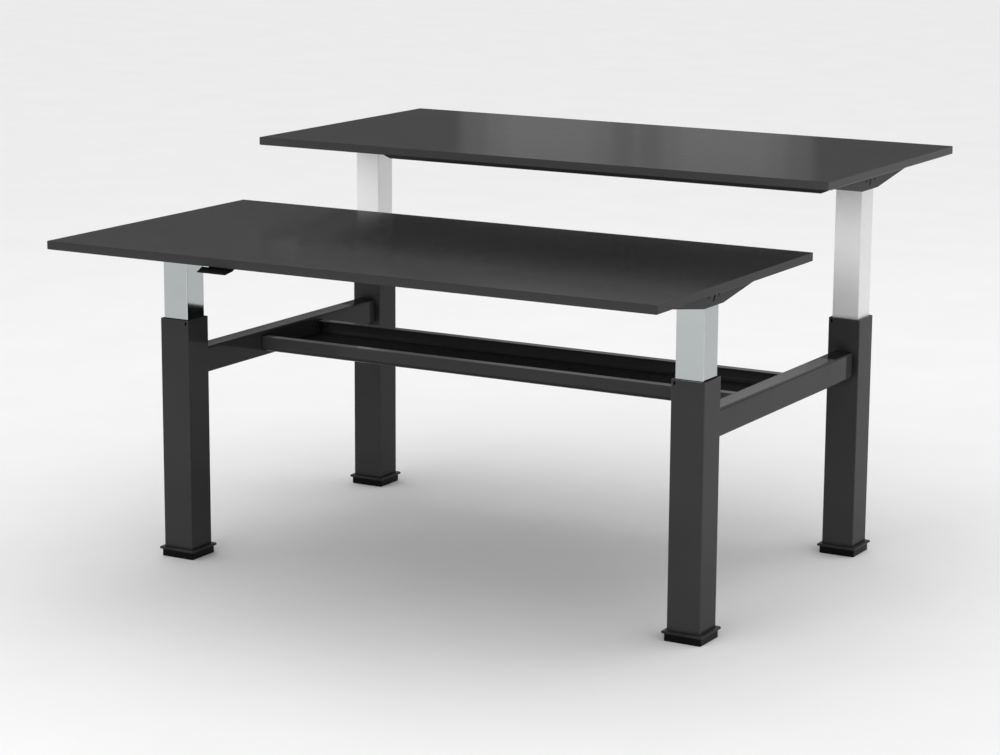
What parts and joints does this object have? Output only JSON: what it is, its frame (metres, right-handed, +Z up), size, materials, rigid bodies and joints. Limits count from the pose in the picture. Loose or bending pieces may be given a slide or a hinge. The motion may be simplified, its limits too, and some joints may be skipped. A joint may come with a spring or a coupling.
{
  "type": "benching desk for two",
  "caption": "Back-to-back sit-stand bench with dark boards on telescopic square columns, joined by side rails and a cable tray; each board rises by itself.",
  "frame": {"origin": "on the floor under the middle of the bench, between the two boards", "axes": "+X along the width, to the right of the person at the front desk; +Y from the front desk to the rear desk; +Z up"},
  "size_m": [1.6, 1.729, 0.993],
  "materials": {
    "board_grey": "matt dark grey laminate",
    "black_lacquer": "semi-gloss black",
    "bright_steel": "polished",
    "black_plastic": "satin black",
    "tool_steel": "turned",
    "cast_grey": "as cast"
  },
  "bodies": {
    "base": {"front_left_foot": "black_plastic", "front_left_outer_column": "black_lacquer", "front_left_guide_collar": "black_plastic", "front_left_nut_tube": "cast_grey", "front_right_foot": "black_plastic", "front_right_outer_column": "black_lacquer", "front_right_guide_collar": "black_plastic", "front_right_nut_tube": "cast_grey", "rear_left_foot": "black_plastic", "rear_left_outer_column": "black_lacquer", "rear_left_guide_collar": "black_plastic", "rear_left_nut_tube": "cast_grey", "rear_right_foot": "black_plastic", "rear_right_outer_column": "black_lacquer", "rear_right_guide_collar": "black_plastic", "rear_right_nut_tube": "cast_grey", "left_side_rail": "black_lacquer", "right_side_rail": "black_lacquer", "cable_tray": "black_lacquer", "left_tray_hanger": "black_lacquer", "right_tray_hanger": "black_lacquer"},
    "front_desk": {"front_left_inner_column": "bright_steel", "front_left_bracket": "black_lacquer", "front_left_drive_unit": "cast_grey", "front_right_inner_column": "bright_steel", "front_right_bracket": "black_lacquer", "front_right_drive_unit": "cast_grey", "front_desktop": "board_grey", "front_crossbeam": "black_lacquer", "front_control_box": "black_plastic", "front_paddle_housing": "black_plastic"},
    "rear_desk": {"rear_left_inner_column": "bright_steel", "rear_left_bracket": "black_lacquer", "rear_left_drive_unit": "cast_grey", "rear_right_inner_column": "bright_steel", "rear_right_bracket": "black_lacquer", "rear_right_drive_unit": "cast_grey", "rear_desktop": "board_grey", "rear_crossbeam": "black_lacquer", "rear_control_box": "black_plastic", "rear_paddle_housing": "black_plastic"},
    "front_paddle": {"front_paddle": "black_plastic"},
    "front_left_spindle": {"front_left_spindle": "tool_steel"},
    "front_right_spindle": {"front_right_spindle": "tool_steel"},
    "rear_paddle": {"rear_paddle": "black_plastic"},
    "rear_left_spindle": {"rear_left_spindle": "tool_steel"},
    "rear_right_spindle": {"rear_right_spindle": "tool_steel"}
  },
  "joints": [
    {"name": "front_lift", "type": "slide", "parent": "base", "child": "front_desk", "axis": [0, 0, 1], "range_m": [-0.149, 0.311]},
    {"name": "front_paddle_tilt", "type": "hinge", "parent": "front_desk", "child": "front_paddle", "pos_m": [-0.31, -0.8305, 0.8134], "axis": [1, 0, 0], "range_deg": [-5, 5], "stiffness_Nm_per_rad": 0.6},
    {"name": "front_left_spindle_turn", "type": "hinge", "parent": "front_desk", "child": "front_left_spindle", "pos_m": [-0.7, -0.4375, 0.77], "axis": [0, 0, 1], "range_deg": [-5384, 11216]},
    {"name": "front_right_spindle_turn", "type": "hinge", "parent": "front_desk", "child": "front_right_spindle", "pos_m": [0.7, -0.4375, 0.77], "axis": [0, 0, 1], "range_deg": [-5384, 11216]},
    {"name": "rear_lift", "type": "slide", "parent": "base", "child": "rear_desk", "axis": [0, 0, 1], "range_m": [-0.303, 0.157]},
    {"name": "rear_paddle_tilt", "type": "hinge", "parent": "rear_desk", "child": "rear_paddle", "pos_m": [0.31, 0.8305, 0.9674], "axis": [-1, 0, 0], "range_deg": [-5, 5], "stiffness_Nm_per_rad": 0.6},
    {"name": "rear_left_spindle_turn", "type": "hinge", "parent": "rear_desk", "child": "rear_left_spindle", "pos_m": [0.7, 0.4375, 0.924], "axis": [0, 0, 1], "range_deg": [-10928, 5672]},
    {"name": "rear_right_spindle_turn", "type": "hinge", "parent": "rear_desk", "child": "rear_right_spindle", "pos_m": [-0.7, 0.4375, 0.924], "axis": [0, 0, 1], "range_deg": [-10928, 5672]}
  ],
  "couplings": [
    {"joint": "front_left_spindle_turn", "follows": "front_lift", "rad_per_m": 628.32},
    {"joint": "front_right_spindle_turn", "follows": "front_lift", "rad_per_m": 628.32},
    {"joint": "rear_left_spindle_turn", "follows": "rear_lift", "rad_per_m": 628.32},
    {"joint": "rear_right_spindle_turn", "follows": "rear_lift", "rad_per_m": 628.32}
  ]
}
